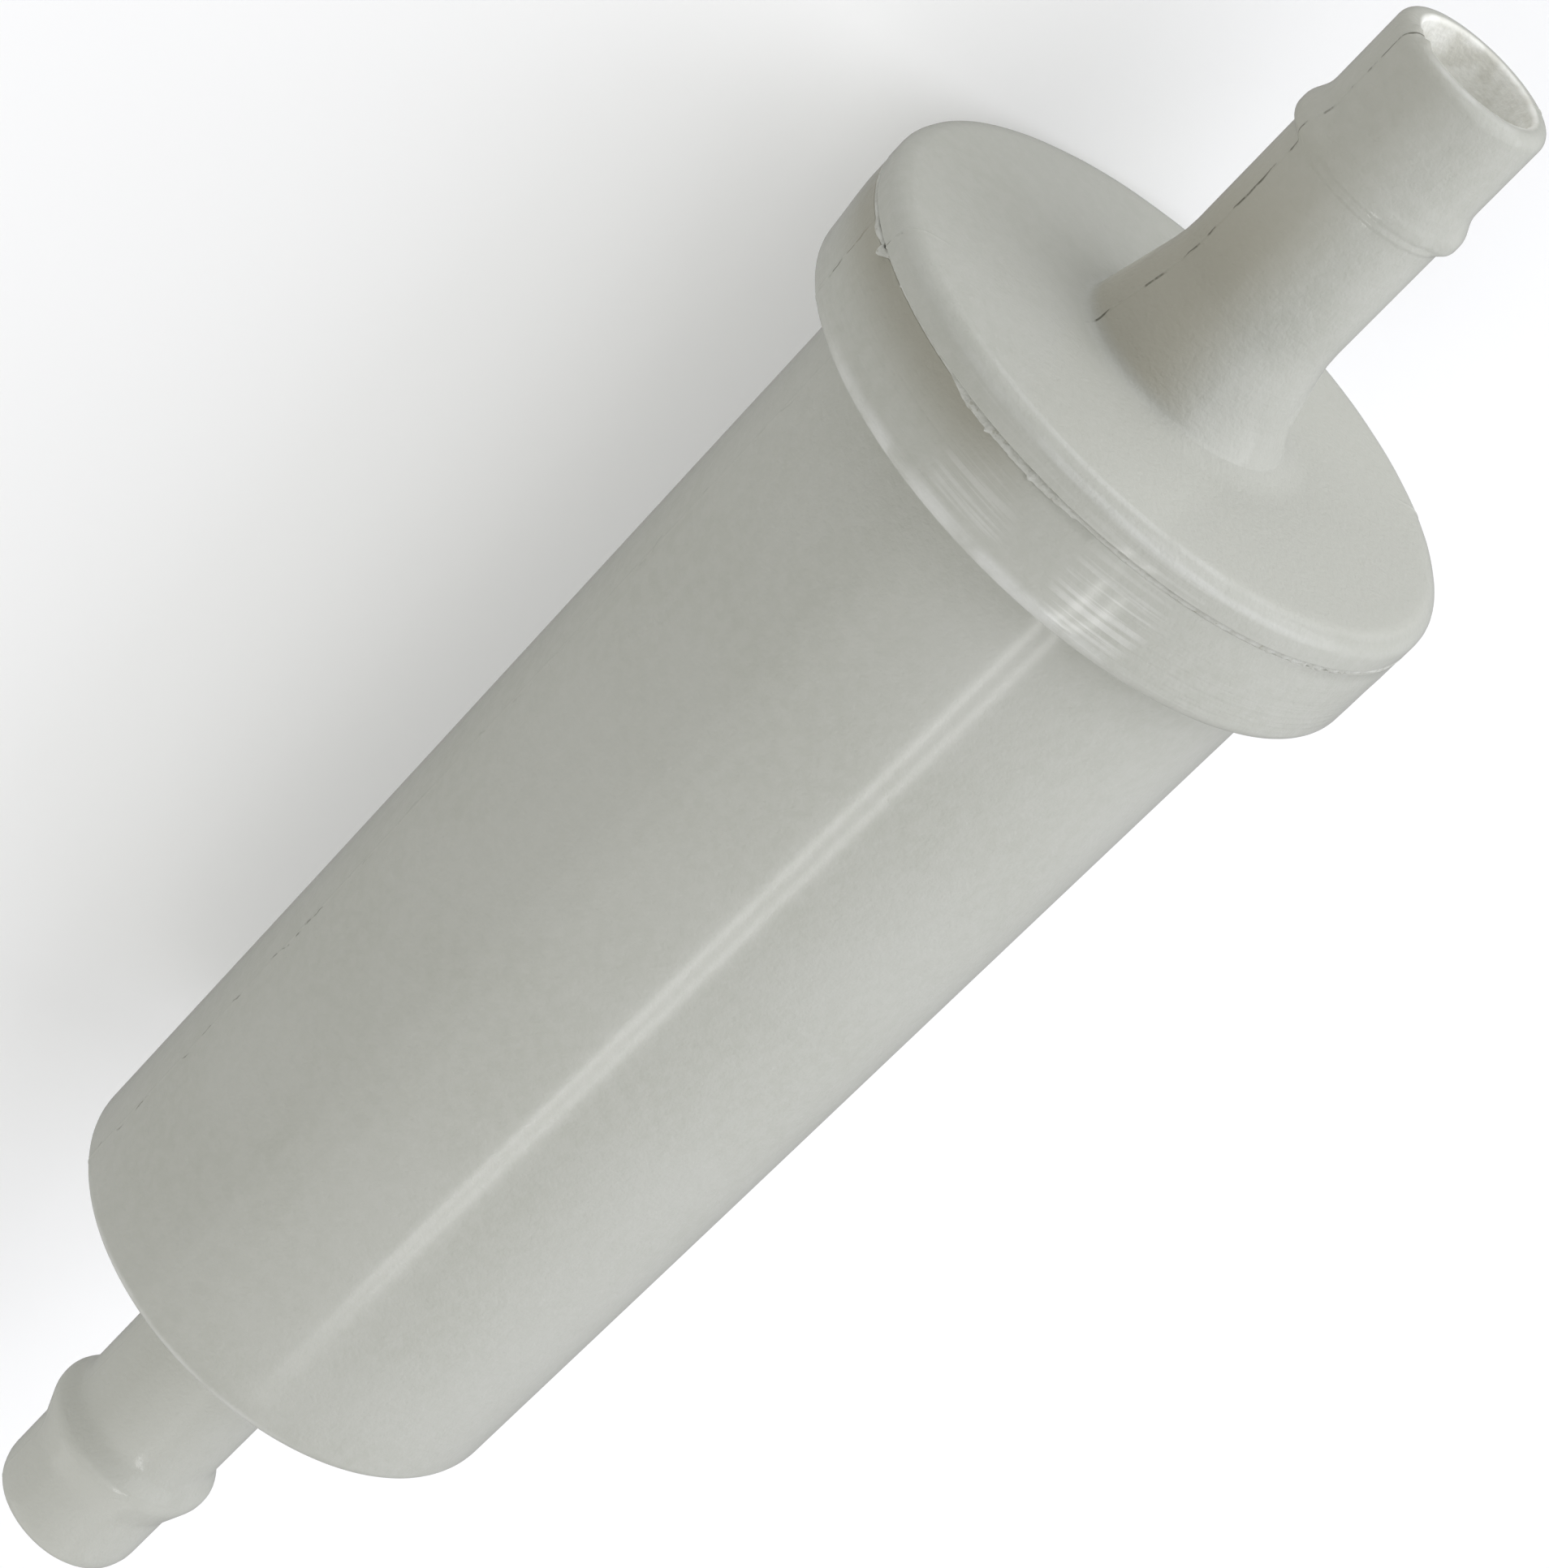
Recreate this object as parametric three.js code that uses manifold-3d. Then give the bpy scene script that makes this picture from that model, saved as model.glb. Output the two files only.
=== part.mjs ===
// In-line fuel filter for a small engine: a long moulded plastic cup with an inlet hose stem,
// closed by a welded cap with a barbed outlet hose stem, around a pleated paper element.
//
// Units are millimetres. The filter lies on its side, +Z up, and fuel flows along +X from the inlet
// stem to the outlet stem. A station is a distance along that axis from the inlet tip. The origin
// is on the axis, midway between the two tips.

import * as THREE from 'three';
import { mergeVertices } from 'three/addons/utils/BufferGeometryUtils.js';
import Module from 'manifold-3d';

// Overall sizes
const OVERALL_LENGTH = 99.8;
const BORE_RADIUS = 3.0;
const STEM_RADIUS = 4.0;
const STEM_TIP_ROUNDING = 0.7;
const WALL = 1.6;

// Inlet stem, with its soft hose bead
const INLET_TIP_RADIUS = 3.85;
const INLET_ROOT_RADIUS = 3.95;
const INLET_BEAD_STATION = 6.1;
const INLET_BEAD_RADIUS = 4.5;
const INLET_BEAD_FOOT_LENGTH = 2.8;
const INLET_BEAD_CREST_LENGTH = 0.9;
const INLET_BEAD_ROUNDING = 0.5;
const STEM_ROOT_FILLET = 0.5;

// Cup, drafted from its bottom to the flange
const CUP_BOTTOM_STATION = 18.75;
const CUP_FLOOR_THICKNESS = 1.75;
const CUP_FLOOR_STATION = CUP_BOTTOM_STATION + CUP_FLOOR_THICKNESS;
const CUP_BOTTOM_RADIUS = 11.8;
const CUP_TOP_RADIUS = 12.3;
const CUP_EDGE_ROUNDING = 0.6;

// Flange band around the cup's mouth, drafted out to a shoulder, then necked in to the weld
const FLANGE_STATION = 75.1;
const FLANGE_SHOULDER_STATION = 78.5;
const FLANGE_FOOT_RADIUS = 14.8;
const FLANGE_RADIUS = 15.0;
const FLANGE_NECK_RADIUS = 14.85;
const FLANGE_EDGE_ROUNDING = 0.75;

// Weld between the flange and the cap, with the groove that the melt fills
const WELD_STATION = 79.85;
const WELD_GROOVE_HALF_HEIGHT = 0.25;
const WELD_GROOVE_RADIUS = 14.3;
const WELD_BEAD_RADIUS = 14.8;
const WELD_BEAD_ROUNDING = 0.15;

// Cap, with the ring that clamps the element's disc
const CAP_RIM_RADIUS = 15.0;
const CAP_FACE_STATION = 81.5;
const CAP_CHAMFER_HEIGHT = 0.45;
const CAP_CHAMFER_WIDTH = 0.75;
const CAP_EDGE_ROUNDING = 0.25;
const CLAMP_RING_INNER_RADIUS = 11.2;
const CLAMP_RING_OUTER_RADIUS = 12.6;

// Outlet stem, flared at its root and barbed near its tip
const OUTLET_ROOT_RADIUS = 5.2;
const OUTLET_FLARE_LENGTH = 4.8;
const BARB_RADIUS = 4.45;
const BARB_FOOT_STATION = 93.2;
const BARB_SHOULDER_LENGTH = 0.35;
const BARB_CREST_LENGTH = 0.7;
const BARB_RAMP_LENGTH = 0.9;
const BARB_ROUNDING = 0.2;

// Seat in the cup's mouth, and the disc that sits in it
const SEAT_STATION = 76.6;
const SEAT_RADIUS = 12.9;
const OPEN_DISC_THICKNESS = 1.6;
const OPEN_DISC_RADIUS = 12.6;

// Closed disc at the inlet end, on short feet above the cup's floor
const CLOSED_DISC_STATION = 24.9;
const CLOSED_DISC_THICKNESS = 1.4;
const CLOSED_DISC_RADIUS = 9.6;
const CLOSED_DISC_ROUNDING = 0.3;
const FOOT_COUNT = 4;
const FOOT_RADIUS = 0.9;
const FOOT_CIRCLE_RADIUS = 7.4;
const FOOT_CLEARANCE = 0.3;

// Slotted core tube
const CORE_INNER_RADIUS = 3.4;
const CORE_OUTER_RADIUS = 4.4;
const SLOT_LENGTH = 6.0;
const SLOT_WIDTH = 2.2;
const SLOT_PITCH = 9.5;
const SLOT_LEVELS = 5;

// Adhesive at both ends of the paper
const ADHESIVE_THICKNESS = 1.2;
const ADHESIVE_INNER_RADIUS = 4.7;
const ADHESIVE_OUTER_RADIUS = 9.5;

// Pleated paper
const PLEAT_COUNT = 20;
const PLEAT_INNER_RADIUS = 5.0;
const PLEAT_OUTER_RADIUS = 9.2;
const PAPER_RADIAL_DEPTH = 1.7;

// Fineness of round surfaces
const TURN_STEPS = 48;
const FOOT_STEPS = 12;
const CORNER_STEPS = 3;

const wasm = await Module();
wasm.setup();

// ---- outlines -------------------------------------------------------------------------------

function corner(station, radius, rounding = 0) {
  return { point: new THREE.Vector2(radius, station), rounding };
}

// The arc that replaces a corner and touches both of its edges.
function cornerArc(before, at, after, rounding) {
  const backward = before.clone().sub(at).normalize();
  const forward = after.clone().sub(at).normalize();
  const turnsLeft = forward.cross(backward) > 0;
  const halfAngle = Math.acos(backward.dot(forward)) / 2;
  const bisector = backward.clone().add(forward).normalize();
  const centre = bisector.multiplyScalar(rounding / Math.sin(halfAngle)).add(at);
  const start = backward.multiplyScalar(rounding / Math.tan(halfAngle)).add(at);
  const sweep = (Math.PI - 2 * halfAngle) * (turnsLeft ? 1 : -1);
  const points = [];
  for (let step = 0; step <= CORNER_STEPS; step += 1) {
    points.push(start.clone().rotateAround(centre, (sweep * step) / CORNER_STEPS));
  }
  return points;
}

function roundedOutline(corners) {
  const count = corners.length;
  return corners.flatMap(({ point, rounding }, index) => {
    if (rounding === 0) {
      return [point];
    }
    const before = corners[(index + count - 1) % count].point;
    const after = corners[(index + 1) % count].point;
    return cornerArc(before, point, after, rounding);
  });
}

// ---- solids ---------------------------------------------------------------------------------

// Moves a solid made around +Y, with stations as heights, onto the flow axis.
function ontoFlowAxis(solid) {
  return solid.rotateZ(-Math.PI / 2).translate(-OVERALL_LENGTH / 2, 0, 0);
}

// A ring turned from a closed outline, whose corners run anticlockwise: outwards along its inlet
// side, then towards the outlet.
function turnedRing(corners) {
  const outline = roundedOutline(corners);
  outline.push(outline[0]);
  return ontoFlowAxis(new THREE.LatheGeometry(outline, TURN_STEPS));
}

// A plain ring of rectangular section.
function flatRing(station, thickness, innerRadius, outerRadius) {
  return turnedRing([
    corner(station, innerRadius),
    corner(station, outerRadius),
    corner(station + thickness, outerRadius),
    corner(station + thickness, innerRadius),
  ]);
}

function toManifold(geometry) {
  const bare = geometry.toNonIndexed();
  bare.deleteAttribute('normal');
  bare.deleteAttribute('uv');
  const merged = mergeVertices(bare, 1e-4);
  return new wasm.Manifold(new wasm.Mesh({
    numProp: 3,
    vertProperties: merged.attributes.position.array,
    triVerts: Uint32Array.from(merged.index.array),
  }));
}

function fromManifold(solid) {
  const mesh = solid.getMesh();
  const geometry = new THREE.BufferGeometry();
  geometry.setAttribute('position', new THREE.BufferAttribute(mesh.vertProperties, 3));
  geometry.setIndex(new THREE.BufferAttribute(mesh.triVerts, 1));
  geometry.computeVertexNormals();
  return geometry;
}

// ---- pieces ---------------------------------------------------------------------------------

function cupHousing() {
  const beadFoot = INLET_BEAD_FOOT_LENGTH / 2;
  const beadCrest = INLET_BEAD_CREST_LENGTH / 2;
  const grooveFloor = WELD_STATION - WELD_GROOVE_HALF_HEIGHT;
  return turnedRing([
    corner(0, BORE_RADIUS),
    corner(0, INLET_TIP_RADIUS, STEM_TIP_ROUNDING),
    corner(INLET_BEAD_STATION - beadFoot, INLET_TIP_RADIUS),
    corner(INLET_BEAD_STATION - beadCrest, INLET_BEAD_RADIUS, INLET_BEAD_ROUNDING),
    corner(INLET_BEAD_STATION + beadCrest, INLET_BEAD_RADIUS, INLET_BEAD_ROUNDING),
    corner(INLET_BEAD_STATION + beadFoot, INLET_TIP_RADIUS),
    corner(CUP_BOTTOM_STATION, INLET_ROOT_RADIUS, STEM_ROOT_FILLET),
    corner(CUP_BOTTOM_STATION, CUP_BOTTOM_RADIUS, CUP_EDGE_ROUNDING),
    corner(FLANGE_STATION, CUP_TOP_RADIUS),
    corner(FLANGE_STATION, FLANGE_FOOT_RADIUS, FLANGE_EDGE_ROUNDING),
    corner(FLANGE_SHOULDER_STATION, FLANGE_RADIUS),
    corner(grooveFloor, FLANGE_NECK_RADIUS),
    corner(grooveFloor, WELD_GROOVE_RADIUS),
    corner(WELD_STATION, WELD_GROOVE_RADIUS),
    corner(WELD_STATION, SEAT_RADIUS),
    corner(SEAT_STATION, SEAT_RADIUS),
    corner(SEAT_STATION, CUP_TOP_RADIUS - WALL),
    corner(CUP_FLOOR_STATION, CUP_BOTTOM_RADIUS - WALL, CUP_EDGE_ROUNDING),
    corner(CUP_FLOOR_STATION, BORE_RADIUS),
  ]);
}

function capHousing() {
  const discTop = SEAT_STATION + OPEN_DISC_THICKNESS;
  const grooveTop = WELD_STATION + WELD_GROOVE_HALF_HEIGHT;
  const chamferFoot = CAP_FACE_STATION - CAP_CHAMFER_HEIGHT;
  const barbCrest = BARB_FOOT_STATION + BARB_SHOULDER_LENGTH;
  const barbRamp = barbCrest + BARB_CREST_LENGTH;
  return turnedRing([
    corner(WELD_STATION, BORE_RADIUS),
    corner(WELD_STATION, CLAMP_RING_INNER_RADIUS),
    corner(discTop, CLAMP_RING_INNER_RADIUS),
    corner(discTop, CLAMP_RING_OUTER_RADIUS),
    corner(WELD_STATION, CLAMP_RING_OUTER_RADIUS),
    corner(WELD_STATION, WELD_GROOVE_RADIUS),
    corner(grooveTop, WELD_GROOVE_RADIUS),
    corner(grooveTop, CAP_RIM_RADIUS),
    corner(chamferFoot, CAP_RIM_RADIUS, CAP_EDGE_ROUNDING),
    corner(CAP_FACE_STATION, CAP_RIM_RADIUS - CAP_CHAMFER_WIDTH, CAP_EDGE_ROUNDING),
    corner(CAP_FACE_STATION, OUTLET_ROOT_RADIUS, STEM_ROOT_FILLET),
    corner(CAP_FACE_STATION + OUTLET_FLARE_LENGTH, STEM_RADIUS),
    corner(BARB_FOOT_STATION, STEM_RADIUS),
    corner(barbCrest, BARB_RADIUS),
    corner(barbRamp, BARB_RADIUS, BARB_ROUNDING),
    corner(barbRamp + BARB_RAMP_LENGTH, STEM_RADIUS),
    corner(OVERALL_LENGTH, STEM_RADIUS, STEM_TIP_ROUNDING),
    corner(OVERALL_LENGTH, BORE_RADIUS),
  ]);
}

function weldBead() {
  const low = WELD_STATION - WELD_GROOVE_HALF_HEIGHT;
  const high = WELD_STATION + WELD_GROOVE_HALF_HEIGHT;
  return turnedRing([
    corner(low, WELD_GROOVE_RADIUS),
    corner(low, WELD_BEAD_RADIUS, WELD_BEAD_ROUNDING),
    corner(high, WELD_BEAD_RADIUS, WELD_BEAD_ROUNDING),
    corner(high, WELD_GROOVE_RADIUS),
  ]);
}

function openEndDisc() {
  return flatRing(SEAT_STATION, OPEN_DISC_THICKNESS, CORE_INNER_RADIUS, OPEN_DISC_RADIUS);
}

// The closed disc's plate runs to the axis; its feet keep it off the cup's floor.
function closedEndDisc() {
  const top = CLOSED_DISC_STATION + CLOSED_DISC_THICKNESS;
  const plateOutline = roundedOutline([
    corner(CLOSED_DISC_STATION, 0),
    corner(CLOSED_DISC_STATION, CLOSED_DISC_RADIUS, CLOSED_DISC_ROUNDING),
    corner(top, CLOSED_DISC_RADIUS, CLOSED_DISC_ROUNDING),
    corner(top, 0),
  ]);
  let disc = toManifold(ontoFlowAxis(new THREE.LatheGeometry(plateOutline, TURN_STEPS)));

  const footEnd = CUP_FLOOR_STATION + FOOT_CLEARANCE;
  const footTop = CLOSED_DISC_STATION + CLOSED_DISC_THICKNESS / 2;
  for (let index = 0; index < FOOT_COUNT; index += 1) {
    const foot = new THREE.CylinderGeometry(FOOT_RADIUS, FOOT_RADIUS, footTop - footEnd, FOOT_STEPS);
    foot.translate(FOOT_CIRCLE_RADIUS, (footEnd + footTop) / 2, 0);
    foot.rotateY((index * 2 * Math.PI) / FOOT_COUNT);
    disc = disc.add(toManifold(ontoFlowAxis(foot)));
  }
  return fromManifold(disc);
}

// Each slot tool runs across the whole tube, so two crossed tools cut four slots at a level.
function coreTube() {
  const foot = CLOSED_DISC_STATION + CLOSED_DISC_THICKNESS;
  let tube = toManifold(
    flatRing(foot, SEAT_STATION - foot, CORE_INNER_RADIUS, CORE_OUTER_RADIUS),
  );
  const middle = (foot + SEAT_STATION) / 2;
  for (let level = 0; level < SLOT_LEVELS; level += 1) {
    const station = middle + (level - (SLOT_LEVELS - 1) / 2) * SLOT_PITCH;
    for (const turn of [0, Math.PI / 2]) {
      const tool = new THREE.BoxGeometry(3 * CORE_OUTER_RADIUS, SLOT_LENGTH, SLOT_WIDTH);
      tool.rotateY(turn).translate(0, station, 0);
      tube = tube.subtract(toManifold(ontoFlowAxis(tool)));
    }
  }
  return fromManifold(tube);
}

// One closed zigzag that alternates between an outer fold and an inner fold.
function zigzag(path, outerFold, innerFold) {
  const foldCount = 2 * PLEAT_COUNT;
  for (let fold = 0; fold < foldCount; fold += 1) {
    const angle = (fold * 2 * Math.PI) / foldCount;
    const radius = fold % 2 === 0 ? outerFold : innerFold;
    path[fold === 0 ? 'moveTo' : 'lineTo'](radius * Math.cos(angle), radius * Math.sin(angle));
  }
  path.closePath();
  return path;
}

function pleatedPaper() {
  const foot = CLOSED_DISC_STATION + CLOSED_DISC_THICKNESS + ADHESIVE_THICKNESS;
  const length = SEAT_STATION - ADHESIVE_THICKNESS - foot;
  const outerFaceInnerFold = PLEAT_INNER_RADIUS + PAPER_RADIAL_DEPTH;
  const innerFaceOuterFold = PLEAT_OUTER_RADIUS - PAPER_RADIAL_DEPTH;
  const section = zigzag(new THREE.Shape(), PLEAT_OUTER_RADIUS, outerFaceInnerFold);
  section.holes.push(zigzag(new THREE.Path(), innerFaceOuterFold, PLEAT_INNER_RADIUS));
  const paper = new THREE.ExtrudeGeometry(section, { depth: length, bevelEnabled: false });
  return ontoFlowAxis(paper.rotateX(-Math.PI / 2).translate(0, foot, 0));
}

function adhesiveRing(station) {
  return flatRing(station, ADHESIVE_THICKNESS, ADHESIVE_INNER_RADIUS, ADHESIVE_OUTER_RADIUS);
}

// ---- materials ------------------------------------------------------------------------------

function matte(color, roughness) {
  return new THREE.MeshStandardMaterial({ color, roughness, metalness: 0 });
}

const housingPlastic = () => matte(0xc0c1bb, 0.45);
const weldPlastic = () => matte(0xcfd0cb, 0.6);
const discPlastic = () => matte(0xd9d6c8, 0.5);
const corePlastic = () => matte(0xe4e2da, 0.5);
const filterPaper = () => matte(0xcbb27a, 0.95);
const adhesive = () => matte(0x8a4a22, 0.4);

// ---- assembly -------------------------------------------------------------------------------

function piece(name, geometry, material) {
  const mesh = new THREE.Mesh(geometry, material);
  mesh.name = name;
  return mesh;
}

const element = new THREE.Group();
element.add(
  piece('open_end_disc', openEndDisc(), discPlastic()),
  piece('closed_end_disc', closedEndDisc(), discPlastic()),
  piece('core_tube', coreTube(), corePlastic()),
  piece('pleated_paper', pleatedPaper(), filterPaper()),
  piece('outlet_end_adhesive', adhesiveRing(SEAT_STATION - ADHESIVE_THICKNESS), adhesive()),
  piece('inlet_end_adhesive', adhesiveRing(CLOSED_DISC_STATION + CLOSED_DISC_THICKNESS), adhesive()),
);

const filter = new THREE.Group();
filter.add(
  piece('cup_housing', cupHousing(), housingPlastic()),
  piece('cap_housing', capHousing(), housingPlastic()),
  piece('weld_bead', weldBead(), weldPlastic()),
  element,
);

export default filter;
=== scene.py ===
"""Looks of the in-line fuel filter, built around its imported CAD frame.

Shapes are worked out in millimetres, as stations along the flow axis from the inlet tip and as
radii and angles around that axis. An angle of 0 points to the camera's side of the filter, and
angles grow right-handed around +X.
"""

import math

import bmesh
import bpy
import numpy as np
from mathutils import Matrix, Vector


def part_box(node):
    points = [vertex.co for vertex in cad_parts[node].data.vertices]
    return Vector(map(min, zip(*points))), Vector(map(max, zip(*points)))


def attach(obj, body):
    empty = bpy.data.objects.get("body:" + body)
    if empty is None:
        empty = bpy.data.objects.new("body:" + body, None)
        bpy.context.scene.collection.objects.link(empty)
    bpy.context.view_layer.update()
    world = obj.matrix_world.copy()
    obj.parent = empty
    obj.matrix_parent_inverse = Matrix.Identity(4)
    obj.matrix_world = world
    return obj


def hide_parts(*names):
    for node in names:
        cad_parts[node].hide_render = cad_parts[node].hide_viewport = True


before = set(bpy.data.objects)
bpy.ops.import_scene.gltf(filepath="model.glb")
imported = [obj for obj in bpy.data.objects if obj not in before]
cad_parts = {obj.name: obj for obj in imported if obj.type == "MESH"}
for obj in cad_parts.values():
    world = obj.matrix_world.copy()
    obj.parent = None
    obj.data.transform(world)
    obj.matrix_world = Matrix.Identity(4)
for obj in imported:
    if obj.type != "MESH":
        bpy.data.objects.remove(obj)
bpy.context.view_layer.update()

MM = 0.001

# ---- sizes taken from the frame -----------------------------------------------------------------

CUP_LOW, CUP_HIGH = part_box("cup_housing")
CAP_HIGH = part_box("cap_housing")[1]
INLET_TIP = CUP_LOW.x
LENGTH = (CAP_HIGH.x - INLET_TIP) / MM
WELD = (CUP_HIGH.x - INLET_TIP) / MM
FLANGE_RADIUS = CUP_HIGH.z / MM
CAP_RIM_RADIUS = CAP_HIGH.z / MM
FLOOR_HEIGHT = CUP_LOW.z


def node_span(node):
    """First station, last station and outer radius of a CAD node, in millimetres."""
    low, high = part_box(node)
    return (low.x - INLET_TIP) / MM, (high.x - INLET_TIP) / MM, high.z / MM


# ---- sizes of the mouldings, in millimetres -----------------------------------------------------

BORE_RADIUS = 3.0
STEM_RADIUS = 3.98
TIP_ROUNDING = 0.6
BORE_EDGE_ROUNDING = 0.22

INLET_TIP_RADIUS = 3.84
INLET_ROOT_RADIUS = 3.93
INLET_BEAD = 6.12
INLET_BEAD_RADIUS = 4.52
INLET_BEAD_START = 4.0
INLET_BEAD_END = 7.45
INLET_BEAD_HALF_CREST = 0.27
INLET_LEAD_IN = 0.9

CUP_BOTTOM = 18.75
CUP_FLOOR = 20.5
CUP_BOTTOM_RADIUS = 11.8
CUP_TOP_RADIUS = 12.3
WALL = 1.6

FLANGE_BOTTOM = 75.1
FLANGE_FOOT_RADIUS = 14.8
FLANGE_SHOULDER = 78.5
SEAT = 76.6
SEAT_RADIUS = 12.9
WELD_GROOVE_HALF = 0.13
WELD_GROOVE_RADIUS = 14.3

CAP_FACE = 81.5
CAP_CHAMFER_HEIGHT = 0.45
CAP_CHAMFER_WIDTH = 0.75
CLAMP_RING_INNER = 11.2
CLAMP_RING_OUTER = 12.6
OUTLET_ROOT_RADIUS = 5.2
OUTLET_FLARE_END = 86.3
OUTLET_SHAFT_RADIUS = 4.03
BARB_FOOT = 93.2
BARB_CREST_START = 93.55
BARB_CREST_END = 94.2
BARB_RAMP_END = 95.1
BARB_RADIUS = 4.43

CORE_INNER = 3.4
CORE_OUTER = 4.4
SLOT_LENGTH = 6.0
SLOT_WIDTH = 2.2
SLOT_PITCH = 9.5
SLOT_LEVELS = 5
SLOT_COLUMNS = 4
SLOT_STEPS = 4                       # cells of the tube's grid across a slot, and along it
RIB_STEPS = 10                       # cells from one slot round to the next
FOOT_COUNT = 4
FOOT_RADIUS = 0.9
FOOT_CIRCLE = 7.4
FOOT_SIDES = 28
DISC_THICKNESS = 1.4
DISC_PANEL_INNER = 5.0               # the open disc has a sunk panel between two slopes
DISC_PANEL_OUTER = 11.0
DISC_PANEL_SLOPE = 0.4
DISC_PANEL_DEPTH = 0.3
GATE_DIMPLE_RADIUS = 2.6             # a ring pressed into the closed disc round its gate
GATE_DIMPLE_HALF_WIDTH = 0.4
GATE_DIMPLE_DEPTH = 0.3
PLEATS = 20
PLEAT_STEPS = 14
PLEAT_ROWS = 30
FOLD_SHARPNESS = 0.97                # 1 for a plain zigzag, less for rounder folds
PLEAT_INNER = 5.3
PLEAT_OUTER = 8.9
PAPER_THICKNESS = 0.5
ADHESIVE_INNER = 4.7

# Where the two halves of each mould met, as angles around the axis, and the ridge left there
CAP_SEAM = math.radians(-53)
CUP_SEAM = math.radians(-62)
CAP_RIDGE_HALF_WIDTH = 0.08
CUP_RIDGE_HALF_WIDTH = 0.09
CAP_RIDGE = 0.03
CUP_RIDGE = 0.024

# The flange's band is drawn in under the cap, more and more between two stations
NECK_START = 76.4
NECK_END = 79.55
NECK_DEEP = 0.3
NECK_SHALLOW = 0.08

# The band stands out a little more towards this angle, from this station up
FULL_SIDE = math.radians(-80)
FULL_BY = 0.1
FULL_START = 75.6

# The cap was welded on a little to one side, towards this angle
CAP_LEAN = math.radians(-40)
CAP_LEAN_SHIFT = 0.17

# How much lower the barb is where wear has taken it down, and how much the outlet stem's root is
# filled
BARB_WEAR = 0.31
ROOT_FILL = 0.34
ROOT_FILL_REACH = 1.7

# Where round the axis such features are: first and last angle, then the widths of the fades
# outside them, all in degrees
NECK_DEEP_SIDE = (-51, -8, 4, 22)
NECK_SHALLOW_SIDE = (16, 66, 24, 12)
BARB_WORN_SIDE = (-30, 58, 26, 24)
ROOT_FILL_SIDE = (28, 150, 34, 30)
WELD_OVERHANG_SIDE = (-20, -3, 7, 9)
WELD_FLUSH_SIDE = (-24, 16, 4, 8)
WELD_PITTED_SIDE = (48, 63, 5, 6)

# ---- the viewpoint ------------------------------------------------------------------------------

VIEW_TILT = math.radians(26.39)      # of the flow axis out of the picture plane, outlet end nearer
VIEW_ROLL = math.radians(45.424)     # of the flow axis in the picture, above the horizontal
CAMERA_SIDE = math.radians(37)       # of the camera around the flow axis, from straight above
CAMERA_BACK = 272.97                 # distance of the inlet tip in front of the camera
CAMERA_SHIFT = -48.98                # offset of the inlet tip along the picture's axis direction
CAMERA_ASIDE = 0.088                 # sideways step that centres the filter in the picture
LENS = 130.15
SENSOR = 36.0

FLOW = Vector((1, 0, 0))
NEAR = Vector((0, math.sin(CAMERA_SIDE), math.cos(CAMERA_SIDE)))
ASIDE = FLOW.cross(NEAR)


def add_camera():
    along = math.cos(VIEW_TILT) * FLOW - math.sin(VIEW_TILT) * NEAR
    forward = -math.sin(VIEW_TILT) * FLOW - math.cos(VIEW_TILT) * NEAR
    right = math.cos(VIEW_ROLL) * along + math.sin(VIEW_ROLL) * ASIDE
    up = math.sin(VIEW_ROLL) * along - math.cos(VIEW_ROLL) * ASIDE
    place = Vector((INLET_TIP, 0, 0)) - MM * (
        CAMERA_SHIFT * along + CAMERA_BACK * forward + CAMERA_ASIDE * ASIDE
    )
    data = bpy.data.cameras.new("photo_camera")
    data.lens = LENS
    data.sensor_width = SENSOR
    data.clip_start = 0.01
    camera = bpy.data.objects.new("photo_camera", data)
    camera.matrix_world = Matrix.Translation(place) @ axes(right, up, -forward)
    bpy.context.scene.collection.objects.link(camera)
    bpy.context.scene.camera = camera


def axes(x_axis, y_axis, z_axis):
    return Matrix((x_axis, y_axis, z_axis)).transposed().to_4x4()


# ---- outlines -----------------------------------------------------------------------------------

ARC_STEP = math.radians(12)


def corner_arc(before, at, after, rounding):
    """Points on the arc that replaces the corner `at` and touches both of its edges."""
    back = (before - at).normalized()
    on = (after - at).normalized()
    half = math.acos(max(-1.0, min(1.0, back.dot(on)))) / 2
    centre = at + (back + on).normalized() * rounding / math.sin(half)
    start = at + back * rounding / math.tan(half) - centre
    sweep = math.pi - 2 * half
    if on.x * back.y - on.y * back.x < 0:
        sweep = -sweep
    steps = max(2, math.ceil(abs(sweep) / ARC_STEP))
    points = []
    for step in range(steps + 1):
        angle = sweep * step / steps
        turned = Vector((
            start.x * math.cos(angle) - start.y * math.sin(angle),
            start.x * math.sin(angle) + start.y * math.cos(angle),
        ))
        points.append(centre + turned)
    return points


def outline(corners, run_step, plain_from=None):
    """A closed outline through (station, radius[, rounding]) corners, anticlockwise with the radius
    to the right and the station upwards. Straight runs are cut into steps of run_step or less,
    up to the corner plain_from, and left whole after it."""
    places = [Vector((c[1], c[0])) for c in corners]
    count = len(corners)
    fine_corners = count if plain_from is None else plain_from
    points = []
    steps = []
    for index, spot in enumerate(corners):
        if len(spot) == 3:
            arc = corner_arc(places[index - 1], places[index], places[(index + 1) % count], spot[2])
        else:
            arc = [places[index]]
        points += arc
        steps += [run_step if index < fine_corners else math.inf] * len(arc)
    cut = []
    for index, start in enumerate(points):
        end = points[(index + 1) % len(points)]
        parts = max(1, math.ceil((end - start).length / steps[index]))
        cut += [start.lerp(end, part / parts) for part in range(parts)]
    return np.array([(p.y, p.x) for p in cut])


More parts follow.
